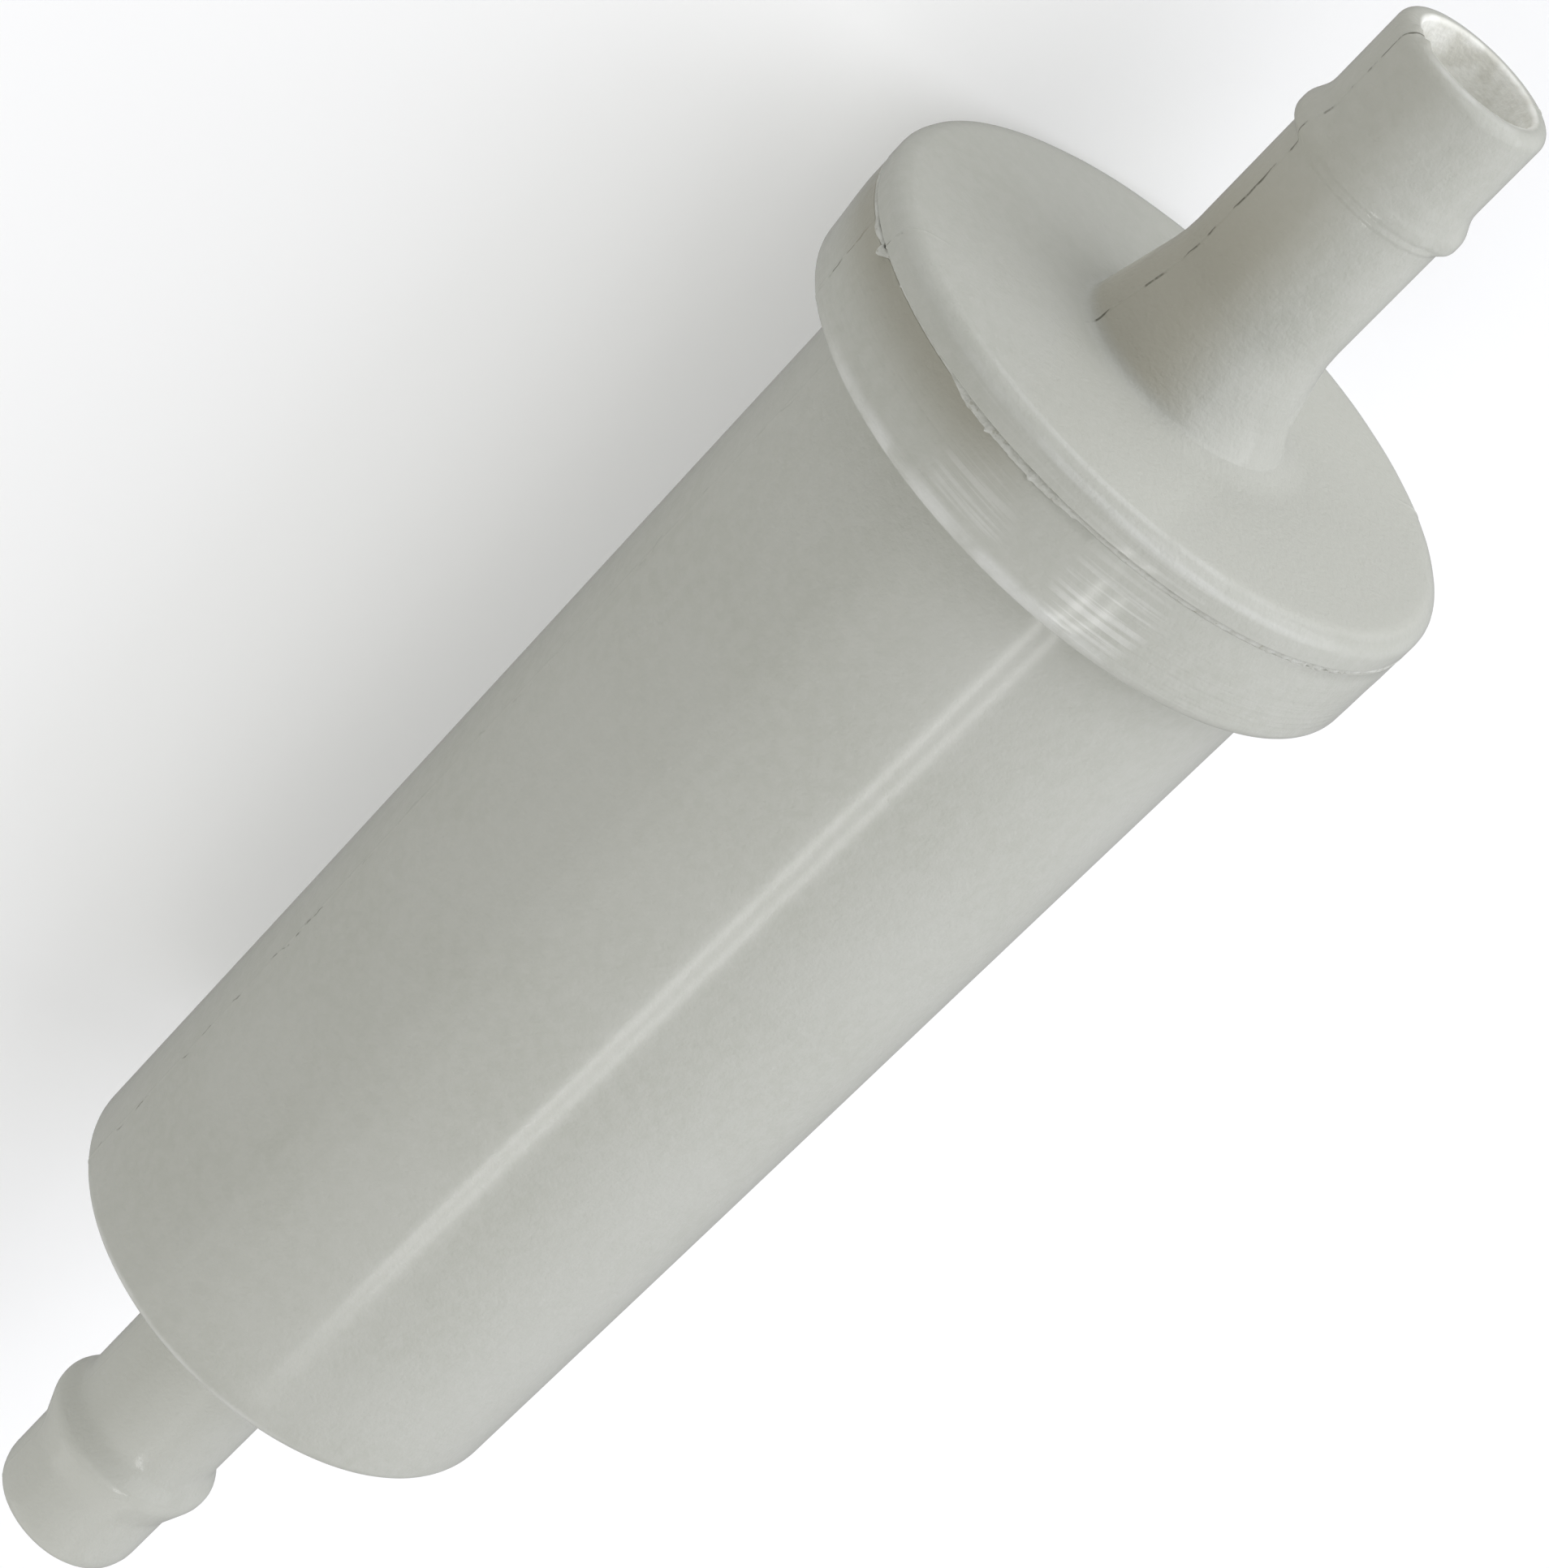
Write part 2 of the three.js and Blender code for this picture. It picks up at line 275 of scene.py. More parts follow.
# Extra columns beside a seam, and the room that they take from the even ones
SEAM_COLUMNS = np.radians((-1.6, -0.9, -0.45, -0.2, 0.0, 0.2, 0.45, 0.9, 1.6))
SEAM_ROOM = 1.25 * SEAM_COLUMNS[-1]


def columns(count, seams=()):
    """Angles around the axis, evenly spaced, with extra ones close to each seam."""
    angles = list(np.arange(count) * 2 * math.pi / count)
    for seam in seams:
        angles = [a for a in angles if abs(math.remainder(a - seam, 2 * math.pi)) > SEAM_ROOM]
        angles += list((seam + SEAM_COLUMNS) % (2 * math.pi))
    return np.array(sorted(angles))


# ---- meshes -------------------------------------------------------------------------------------

def around(station, radius, angle):
    """World coordinates, in metres, of points given by station, radius and angle."""
    across = angle - CAMERA_SIDE
    return np.stack(
        (INLET_TIP + station * MM, -radius * np.sin(across) * MM, radius * np.cos(across) * MM), -1
    )


def add_piece(name, vertices, faces, material, slot, *nodes, sharp_angle=math.radians(40)):
    """A mesh piece that stands for CAD nodes and rides on the filter's only body."""
    mesh = bpy.data.meshes.new(name)
    mesh.from_pydata([tuple(v) for v in vertices], [], faces)
    build = bmesh.new()
    build.from_mesh(mesh)
    bmesh.ops.remove_doubles(build, verts=build.verts, dist=1e-7)
    for face in build.faces:
        face.smooth = True
    for edge in build.edges:
        edge.smooth = edge.calc_face_angle(0) < sharp_angle
    build.to_mesh(mesh)
    build.free()
    mesh.materials.append(material)
    piece = bpy.data.objects.new(name, mesh)
    bpy.context.scene.collection.objects.link(piece)
    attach(piece, "root")
    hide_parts(*nodes)
    return piece


def ring_faces(rows, turns, first=0):
    """Quads of a closed section of `rows` points, carried round through `turns` columns."""
    faces = []
    for row in range(rows):
        above = (row + 1) % rows
        for turn in range(turns):
            beside = (turn + 1) % turns
            corners = (row * turns + turn, row * turns + beside,
                       above * turns + beside, above * turns + turn)
            faces.append(tuple(first + corner for corner in corners))
    return faces


def section_normals(points):
    """Outward unit normals, as (station, radius), of a closed anticlockwise outline."""
    tangent = np.roll(points, -1, 0) - np.roll(points, 1, 0)
    normal = np.stack((-tangent[:, 1], tangent[:, 0]), 1)
    return normal / np.linalg.norm(normal, axis=1, keepdims=True)


def turned_vertices(points, angles, relief=None, swell=None):
    """Vertices of an outline turned round the axis. relief(station, radius, angle) is how far the
    surface stands out along its normal, and swell(station, radius, angle) away from the axis."""
    station, angle = np.meshgrid(points[:, 0], angles, indexing="ij")
    radius = np.repeat(points[:, 1:2], len(angles), 1)
    out = 0.0 if swell is None else swell(station, radius, angle)
    if relief is not None:
        normal = section_normals(points)
        height = relief(station, radius, angle)
        station = station + height * normal[:, 0:1]
        out = out + height * normal[:, 1:2]
    return around(station, radius + out, angle).reshape(-1, 3)


def turned_piece(name, points, angles, material, slot, *nodes, relief=None, swell=None):
    vertices = turned_vertices(points, angles, relief, swell)
    faces = ring_faces(len(points), len(angles))
    return add_piece(name, vertices, faces, material, slot, *nodes)


def bump(value, middle, half_width):
    """1 at middle, falling smoothly to 0 at half_width from it."""
    near = np.clip(1 - np.abs(value - middle) / half_width, 0, 1)
    return near * near * (3 - 2 * near)


def rise(value, start, end):
    """0 up to start, growing smoothly to 1 at end."""
    part = np.clip((value - start) / (end - start), 0, 1)
    return part * part * (3 - 2 * part)


def turn_from(angle, middle):
    """Signed distance between angles, from -pi to pi."""
    return np.remainder(angle - middle + math.pi, 2 * math.pi) - math.pi


def window(angle, first, last, first_fade, last_fade):
    """1 between two angles in degrees, fading to 0 over the given widths outside them."""
    degrees = np.degrees(turn_from(angle, 0.0))
    return rise(degrees, first - first_fade, first) * (1 - rise(degrees, last, last + last_fade))


def ragged(angle, seed, counts, reach):
    """A wandering line round the axis: waves of the given counts, with seeded sizes and phases."""
    random = np.random.default_rng(seed)
    total = np.zeros_like(angle)
    for count in counts:
        total += random.uniform(0.4, 1.0) * np.sin(count * angle + random.uniform(0, 2 * math.pi))
    return reach * total / math.sqrt(len(counts))


# ---- housing ------------------------------------------------------------------------------------

HOUSING_COLUMNS = 288


def seam_ridge(radius, angle, seam, half_width):
    """1 on the seam and half a turn away from it, 0 from half_width beside them."""
    across = turn_from(angle, seam) * radius
    opposite = turn_from(angle, seam + math.pi) * radius
    return bump(across, 0, half_width) + bump(opposite, 0, half_width)


def cup_relief(station, radius, angle):
    """The seam's ridge, which comes and goes along the cup, and slow waves in the wall."""
    outside = radius > np.where(station > CUP_FLOOR, CUP_BOTTOM_RADIUS - 0.8, BORE_RADIUS + 0.4)
    outside &= station < WELD - WELD_GROOVE_HALF - 0.05
    ridge = CUP_RIDGE * seam_ridge(radius, angle, CUP_SEAM, CUP_RIDGE_HALF_WIDTH)
    drift = 0.6 + 0.4 * np.sin(station * 0.55) * np.sin(station * 0.21 + 1.0)
    waves = 0.006 * np.sin(3 * angle + 0.09 * station) + 0.004 * np.sin(5 * angle - 0.16 * station)
    return np.where(outside, ridge * drift + waves, 0)


def neck_depth(angle):
    """How far the flange's band is drawn in under the cap, deepest where the cap overhangs."""
    deep = window(angle, *NECK_DEEP_SIDE)
    shallow = window(angle, *NECK_SHALLOW_SIDE)
    return NECK_DEEP * deep + NECK_SHALLOW * shallow


def band_fullness(angle):
    """How far the flange's band stands out at its shoulder."""
    return FULL_BY * np.cos(turn_from(angle, FULL_SIDE))


def cup_swell(station, radius, angle):
    band = (radius > WELD_GROOVE_RADIUS + 0.1) & (station > FLANGE_BOTTOM - 0.01)
    draw_in = rise(station, NECK_START, NECK_END) * neck_depth(angle)
    fuller = rise(station, FULL_START, FLANGE_SHOULDER) * band_fullness(angle)
    return np.where(band, fuller - draw_in, 0)


def cap_relief(station, radius, angle):
    """The seam's ridge, an uneven rim, crumbs on the stem's tip and the filled root of the stem."""
    outside = (radius > BORE_RADIUS + 0.2) & (station > WELD + WELD_GROOVE_HALF - 0.01)
    on_face = rise(radius, 5.0, 5.6) * (1 - rise(radius, 12.9, 13.5))
    ridge = CAP_RIDGE * seam_ridge(radius, angle, CAP_SEAM, CAP_RIDGE_HALF_WIDTH) * (1 - on_face)
    rim_waves = ragged(angle, 11, (7, 12, 19, 31), 0.012) * rise(radius, 13.9, 14.6)
    crumb = bump(turn_from(angle, CAP_SEAM + 0.16), 0, 0.14) * bump(radius, 3.3, 0.45)
    crumb += 0.7 * bump(turn_from(angle, CAP_SEAM - 0.12), 0, 0.1) * bump(radius, 3.4, 0.4)
    tip_flash = 0.14 * crumb * rise(station, LENGTH - 0.5, LENGTH - 0.05)
    root = np.hypot(station - CAP_FACE, radius - OUTLET_ROOT_RADIUS)
    root_fill = ROOT_FILL * bump(root, 0, ROOT_FILL_REACH) * window(angle, *ROOT_FILL_SIDE)
    return np.where(outside, ridge + rim_waves + tip_flash + root_fill, 0)


def cap_swell(station, radius, angle):
    """The lean of the cap's rim, and the barb lowered by wear on one side."""
    lean = CAP_LEAN_SHIFT * np.cos(turn_from(angle, CAP_LEAN)) * rise(radius, 11, 14)
    barb = rise(station, BARB_FOOT, BARB_CREST_START)
    barb *= 1 - rise(station, BARB_CREST_END, BARB_RAMP_END)
    in_places = window(angle, *BARB_WORN_SIDE) * (radius > BORE_RADIUS + 0.4)
    return lean - BARB_WEAR * barb * in_places


def cup_outline():
    crest = INLET_BEAD_HALF_CREST
    groove = WELD - WELD_GROOVE_HALF
    return outline([
        (0, BORE_RADIUS, BORE_EDGE_ROUNDING),
        (0, INLET_TIP_RADIUS - INLET_LEAD_IN / 3, TIP_ROUNDING),
        (INLET_LEAD_IN, INLET_TIP_RADIUS, 1.8),
        (INLET_BEAD_START, INLET_TIP_RADIUS + 0.02, 2.0),
        (INLET_BEAD - crest, INLET_BEAD_RADIUS, 1.2),
        (INLET_BEAD + crest, INLET_BEAD_RADIUS, 0.8),
        (INLET_BEAD_END, INLET_TIP_RADIUS + 0.04, 1.5),
        (CUP_BOTTOM, INLET_ROOT_RADIUS, 0.5),
        (CUP_BOTTOM, CUP_BOTTOM_RADIUS, 0.65),
        (FLANGE_BOTTOM, CUP_TOP_RADIUS, 0.25),
        (FLANGE_BOTTOM, FLANGE_FOOT_RADIUS, 0.75),
        (FLANGE_SHOULDER, FLANGE_RADIUS - 0.02, 2.0),
        (groove, FLANGE_RADIUS - 0.02, 0.05),
        (groove, WELD_GROOVE_RADIUS),
        (WELD, WELD_GROOVE_RADIUS),
        (WELD, SEAT_RADIUS),
        (SEAT, SEAT_RADIUS),
        (SEAT, CUP_TOP_RADIUS - WALL),
        (CUP_FLOOR, CUP_BOTTOM_RADIUS - WALL, 0.6),
        (CUP_FLOOR, BORE_RADIUS),
    ], run_step=0.9, plain_from=12)


def cap_outline():
    disc_top = node_span("open_end_disc")[1]
    groove = WELD + WELD_GROOVE_HALF
    return outline([
        (groove, WELD_GROOVE_RADIUS),
        (groove, CAP_RIM_RADIUS, 0.08),
        (CAP_FACE - CAP_CHAMFER_HEIGHT, CAP_RIM_RADIUS, 0.75),
        (CAP_FACE, CAP_RIM_RADIUS - CAP_CHAMFER_WIDTH, 1.3),
        (CAP_FACE, OUTLET_ROOT_RADIUS, 0.5),
        (OUTLET_FLARE_END, OUTLET_SHAFT_RADIUS, 6.0),
        (BARB_FOOT, OUTLET_SHAFT_RADIUS, 0.35),
        (BARB_CREST_START, BARB_RADIUS, 0.45),
        (BARB_CREST_END, BARB_RADIUS, 0.9),
        (BARB_RAMP_END, STEM_RADIUS, 1.6),
        (LENGTH, STEM_RADIUS, TIP_ROUNDING),
        (LENGTH, BORE_RADIUS, BORE_EDGE_ROUNDING),
        (WELD, BORE_RADIUS),
        (WELD, CLAMP_RING_INNER),
        (disc_top, CLAMP_RING_INNER),
        (disc_top, CLAMP_RING_OUTER),
        (WELD, CLAMP_RING_OUTER),
        (WELD, WELD_GROOVE_RADIUS),
    ], run_step=0.5, plain_from=12)


def add_housing():
    cup_material = housing_plastic("cup_plastic", CUP_SEAM, 0.6, cup_tones)
    cap_material = housing_plastic("cap_plastic", CAP_SEAM, 0.85, cap_tones)
    cup_angles = columns(HOUSING_COLUMNS, (CUP_SEAM, CUP_SEAM + math.pi))
    cap_angles = columns(HOUSING_COLUMNS, (CAP_SEAM, CAP_SEAM + math.pi))
    turned_piece("cup_shell", cup_outline(), cup_angles, cup_material, "housing_plastic",
                 "cup_housing", relief=cup_relief, swell=cup_swell)
    turned_piece("cap_shell", cap_outline(), cap_angles, cap_material, "housing_plastic",
                 "cap_housing", relief=cap_relief, swell=cap_swell)


# ---- weld ---------------------------------------------------------------------------------------

WELD_COLUMNS = 900
WELD_SECTION = 10
WELD_HALF_HEIGHT = 0.128
WELD_ROOT = WELD_GROOVE_RADIUS - 0.02

# Angle and half width, in degrees, and height, in millimetres, of the crumbs that stand out of the
# weld, and how many smaller ones there are
CRUMBS = ((-53.5, 1.3, 0.32), (-59, 3.4, 0.1), (-15.5, 0.6, 0.12), (-5.5, 0.7, 0.11))
SMALL_CRUMBS = 16


def weld_crumbs(angle):
    """Height of the crumbs round the weld."""
    random = np.random.default_rng(7)
    spots = list(CRUMBS)
    spots += [(random.uniform(-175, 175), random.uniform(0.3, 0.6), random.uniform(0.015, 0.04))
              for _ in range(SMALL_CRUMBS)]
    degrees = np.degrees(turn_from(angle, 0.0))
    height = np.zeros_like(angle)
    for spot, half_width, crumb in spots:
        height = np.maximum(height, crumb * bump(degrees, spot, half_width))
    return height


def add_weld():
    """The thread of melted plastic squeezed out between cup and cap."""
    angle = np.arange(WELD_COLUMNS) * 2 * math.pi / WELD_COLUMNS
    overhang = window(angle, *WELD_OVERHANG_SIDE)
    flush = window(angle, *WELD_FLUSH_SIDE)
    pitted = window(angle, *WELD_PITTED_SIDE)
    slow = ragged(angle, 3, (5, 9, 14, 23), 1.0)
    quick = ragged(angle, 5, (61, 83, 107, 139, 173, 211), 1.0)
    crumbs = weld_crumbs(angle)

    surface = FLANGE_RADIUS - 0.02 - neck_depth(angle) + band_fullness(angle)
    crest = surface + 0.02 + (0.1 + 0.02 * np.abs(quick)) * overhang + crumbs
    crest += (0.006 + 0.09 * pitted) * quick + 0.004 * slow
    half_height = WELD_HALF_HEIGHT + 0.05 * overhang + 0.03 * flush + 0.25 * crumbs
    half_height += 0.015 * quick * (0.3 + overhang)
    middle = WELD - 0.01 - 0.11 * overhang + 0.02 * slow * overhang - 0.5 * crumbs

    vertices = []
    for turn in np.arange(WELD_SECTION) * 2 * math.pi / WELD_SECTION:
        # Round the section from its crest: blunt, and a little thicker in its outer half
        reach = (1 + math.cos(turn)) / 2
        radius = WELD_ROOT + (crest - WELD_ROOT) * reach ** 0.22
        station = middle + half_height * math.sin(turn) * (1.0 if reach < 0.5 else 1.15)
        vertices.append(around(station, radius, angle))
    faces = ring_faces(WELD_SECTION, WELD_COLUMNS)
    add_piece("weld_flash", np.concatenate(vertices), faces, weld_plastic(),
              "weld_plastic", "weld_bead", sharp_angle=math.radians(75))


# ---- filter element -----------------------------------------------------------------------------

def add_open_disc():
    foot, top, radius = node_span("open_end_disc")
    points = outline([
        (foot, CORE_INNER, 0.2),
        (foot, radius, 0.2),
        (top, radius, 0.2),
        (top, DISC_PANEL_OUTER, 0.1),
        (top - DISC_PANEL_DEPTH, DISC_PANEL_OUTER - DISC_PANEL_SLOPE, 0.1),
        (top - DISC_PANEL_DEPTH, DISC_PANEL_INNER + DISC_PANEL_SLOPE, 0.1),
        (top, DISC_PANEL_INNER, 0.1),
        (top, CORE_INNER, 0.2),
    ], run_step=1.5)
    turned_piece("open_end_disc_moulding", points, columns(160), natural_plastic("disc_resin"),
                 "disc_plastic", "open_end_disc")


def add_closed_disc():
    foot_end, top, radius = node_span("closed_end_disc")
    plate = top - DISC_THICKNESS
    points = outline([
        (plate, 0.0),
        (plate, GATE_DIMPLE_RADIUS - GATE_DIMPLE_HALF_WIDTH, 0.2),
        (plate + GATE_DIMPLE_DEPTH, GATE_DIMPLE_RADIUS, 0.2),
        (plate, GATE_DIMPLE_RADIUS + GATE_DIMPLE_HALF_WIDTH, 0.2),
        (plate, radius, 0.3),
        (top, radius, 0.3),
        (top, 0.0),
    ], run_step=1.2)
    angles = columns(144)
    vertices = [turned_vertices(points, angles)]
    faces = open_ring_faces(len(points), len(angles))
    first = len(points) * len(angles)
    height = np.array((plate + 0.2, foot_end + 0.3, foot_end + 0.1, foot_end, foot_end))
    width = np.array((FOOT_RADIUS, FOOT_RADIUS, FOOT_RADIUS * 0.93, FOOT_RADIUS * 0.72, 0.0))
    for index in range(FOOT_COUNT):
        direction = CAMERA_SIDE + index * 2 * math.pi / FOOT_COUNT
        middle = around(np.array(0.0), np.array(FOOT_CIRCLE), np.array(direction))
        turn = np.arange(FOOT_SIDES) * 2 * math.pi / FOOT_SIDES
        for x, r in zip(height, width):
            ring = (np.full(FOOT_SIDES, INLET_TIP + x * MM), middle[1] + r * MM * np.sin(turn),
                    middle[2] + r * MM * np.cos(turn))
            vertices.append(np.stack(ring, -1))
        faces += open_ring_faces(len(height), FOOT_SIDES, first)
        first += len(height) * FOOT_SIDES
    add_piece("closed_end_disc_moulding", np.concatenate(vertices), faces,
              natural_plastic("closed_disc_resin"), "disc_plastic", "closed_end_disc")


def open_ring_faces(rows, turns, first=0):
    """Quads of an open section of `rows` points, carried round through `turns` columns."""
    return ring_faces(rows, turns, first)[:(rows - 1) * turns]


def add_core_tube():
    """A slotted tube, made of the cells of a grid of stations and angles that no slot takes."""
    foot, top, _ = node_span("core_tube")
    middle = (foot + top) / 2
    stations = [foot]
    for level in range(SLOT_LEVELS):
        centre = middle + (level - (SLOT_LEVELS - 1) / 2) * SLOT_PITCH
        ends = (centre - SLOT_LENGTH / 2, centre + SLOT_LENGTH / 2)
        stations += list(np.linspace(*ends, SLOT_STEPS + 1))
    stations = np.array(stations + [top])
    half_slot = math.asin(SLOT_WIDTH / 2 / CORE_OUTER)
    pitch = 2 * math.pi / SLOT_COLUMNS
    angles = []
    for column in range(SLOT_COLUMNS):
        centre = CAMERA_SIDE + column * pitch
        angles += list(centre + np.linspace(-half_slot, half_slot, SLOT_STEPS + 1))
        angles += list(centre + np.linspace(half_slot, pitch - half_slot, RIB_STEPS + 1)[1:-1])
    angles = np.array(angles)
    turns = len(angles)
    slot_column = np.arange(turns) % (SLOT_STEPS + RIB_STEPS) < SLOT_STEPS
    slot_row = np.arange(len(stations) - 1) % (SLOT_STEPS + 1) != 0
    solid = ~(slot_row[:, None] & slot_column[None, :])
    vertices = np.concatenate([
        around(*np.broadcast_arrays(stations[:, None], radius, angles[None, :])).reshape(-1, 3)
        for radius in (CORE_INNER, CORE_OUTER)
    ])
    shell = len(stations) * turns

    def at(row, turn):
        return row * turns + turn % turns

    faces = []
    for row in range(len(stations) - 1):
        for turn in range(turns):
            if not solid[row, turn]:
                continue
            inner = [at(row, turn), at(row, turn + 1), at(row + 1, turn + 1), at(row + 1, turn)]
            outer = [vertex + shell for vertex in inner]
            faces += [tuple(outer), tuple(reversed(inner))]
            if row == 0 or not solid[row - 1, turn]:
                faces.append((inner[0], inner[1], outer[1], outer[0]))
            if row == len(stations) - 2 or not solid[row + 1, turn]:
                faces.append((inner[2], inner[3], outer[3], outer[2]))
            if not solid[row, turn - 1]:
                faces.append((inner[3], inner[0], outer[0], outer[3]))
            if not solid[row, (turn + 1) % turns]:
                faces.append((inner[1], inner[2], outer[2], outer[1]))
    tube = add_piece("core_tube_moulding", vertices, faces, natural_plastic("core_resin", 0.09),
                     "core_plastic", "core_tube")
    rounding = tube.modifiers.new("rounded_edges", "BEVEL")
    rounding.width = 0.12 * MM
    rounding.segments = 2
    rounding.limit_method = "ANGLE"
    rounding.angle_limit = math.radians(50)


def add_paper():
    foot, top, _ = node_span("pleated_paper")
    turns = PLEATS * PLEAT_STEPS
    phase = np.arange(turns) / PLEAT_STEPS
    angle = phase * 2 * math.pi / PLEATS
    # 1 at each outer fold and -1 at each inner one, with the folds a little rounded
    swing = np.arcsin(FOLD_SHARPNESS * np.cos(2 * math.pi * phase)) / math.asin(FOLD_SHARPNESS)
    random = np.random.default_rng(19)
    uneven = np.repeat(random.uniform(-0.16, 0.16, PLEATS), PLEAT_STEPS)
    radius = (PLEAT_INNER + PLEAT_OUTER) / 2 + (PLEAT_OUTER - PLEAT_INNER) / 2 * swing
    lean = angle + 0.03 * uneven * (radius - PLEAT_INNER)
    path = np.stack((radius * np.sin(lean), radius * np.cos(lean)), 1)
    tangent = np.roll(path, -1, 0) - np.roll(path, 1, 0)
    normal = np.stack((-tangent[:, 1], tangent[:, 0]), 1)
    normal /= np.linalg.norm(normal, axis=1, keepdims=True)
    if np.sum(normal * path) < 0:
        normal = -normal
    layers = []
    for side in (0.5, -0.5):
        for row in range(PLEAT_ROWS + 1):
            part = row / PLEAT_ROWS
            wave = np.sin(2 * math.pi * (part * 2.3 + phase * 0.37))
            wave *= 0.05 * math.sin(math.pi * part)
            shifted = path + normal * (side * PAPER_THICKNESS + wave[:, None])
            x = np.full(turns, INLET_TIP + (foot + (top - foot) * part) * MM)
            layers.append(np.stack((x, -shifted[:, 0] * MM, shifted[:, 1] * MM), 1))
    layers = layers[:PLEAT_ROWS + 1][::-1] + layers[PLEAT_ROWS + 1:]
    faces = [face[::-1] for face in ring_faces(len(layers), turns)]
    add_piece("pleated_paper_sheet", np.concatenate(layers), faces, filter_paper(), "filter_paper",
              "pleated_paper", sharp_angle=math.radians(60))


def add_adhesive(node, name, phase, open_side):
    """Potting with a hollow free face, on the outlet side for 1 and the inlet side for -1, that
    shows the pleats. The phase turns the pleats' marks."""
    foot, top, radius = node_span(node)
    points = outline([
        (foot, ADHESIVE_INNER, 0.2),
        (foot, radius, 0.2),
        (top, radius, 0.45),
        (top, ADHESIVE_INNER, 0.45),
    ], run_step=0.7)
    if open_side < 0:
        points = np.stack((foot + top - points[:, 0], points[:, 1]), 1)[::-1]

    def puddle(station, spot_radius, angle):
        free = bump(station, foot if open_side < 0 else top, 0.5)
        hollow = 0.05 + 0.05 * bump(spot_radius, 7.1, 2.2)
        pleat_marks = 0.02 * np.cos(PLEATS * angle + phase)
        return free * (pleat_marks - hollow) - 0.01

    turned_piece(name, points, columns(200), cured_adhesive(name + "_resin"), "adhesive", node,
                 relief=puddle)


# ---- materials ----------------------------------------------------------------------------------

# The housing's plastic in its two tones and its fine mottle, then local tones, painted light and
# shade, marks, and whitening with painted highlights
PLASTIC_TONES = ((0.468, 0.474, 0.424), (0.49, 0.495, 0.449))
FINE_MOTTLE = (0.512, 0.515, 0.471)
CAP_PAINTED_LIGHT = (0.535, 0.54, 0.488)
OUTLET_PAINTED_SHADE = (0.42, 0.4, 0.325)
INLET_PAINTED_LIGHT = (0.54, 0.545, 0.495)
BAND_PAINTED_SHADE = (0.34, 0.328, 0.268)
BORE_PAINTED_LIGHT = ((0.93, 0.93, 0.88), (0.78, 0.775, 0.71))
BURNT_RESIN = (0.16, 0.15, 0.11)
SEAM_GRIME = (0.12, 0.118, 0.09)
EDGE_HIGHLIGHT_WHITE = (0.72, 0.725, 0.7)
BAND_PATCH_WHITE = (0.78, 0.78, 0.75)

# Station, radius and half width of the painted highlight along each edge, in millimetres, then the
# angle around the axis where it is brightest, in degrees, and how white it is there
HIGHLIGHTED_EDGES = (
    (FLANGE_BOTTOM + 0.35, FLANGE_FOOT_RADIUS - 0.05, 0.8, -12, 0.6),
    (CUP_BOTTOM + 0.2, CUP_BOTTOM_RADIUS - 0.2, 0.5, -15, 0.55),
    (CAP_FACE - CAP_CHAMFER_HEIGHT - 0.02, CAP_RIM_RADIUS + 0.02, 0.25, 12, 0.3),
    (CAP_FACE - 0.08, CAP_RIM_RADIUS - CAP_CHAMFER_WIDTH + 0.1, 0.25, 8, 0.25),
    (LENGTH - 0.12, STEM_RADIUS - 0.5, 0.3, 10, 0.5),
)

# Angle of the middle of each whitened patch of fine scratches on the flange's band, in degrees, and
# how white they are; the patch at 17 degrees is a painted highlight
BAND_WHITE_PATCHES = ((-10, 0.22), (17, 0.36))

# Stations between which a tone or mark, painted light and shade among them, comes in or fades
SCRATCHES_START = (75.2, 75.8)
SCRATCHES_FADE = (77.4, 79.6)
SHADE_UNDER_CAP_START = (76.6, 79.6)
SHADE_UNDER_CAP_END = (79.7, 79.9)
CUP_MARK_FADE = (36.0, 42.0)
FLANGE_MARK_START = (76.2, 76.8)
CAP_PAINTED_LIGHT_START = (CAP_FACE - 0.2, CAP_FACE - 0.02)
OUTLET_PAINTED_SHADE_START = (CAP_FACE + 0.1, CAP_FACE + 0.9)
OUTLET_PAINTED_SHADE_FADE = (88.0, 96.0)


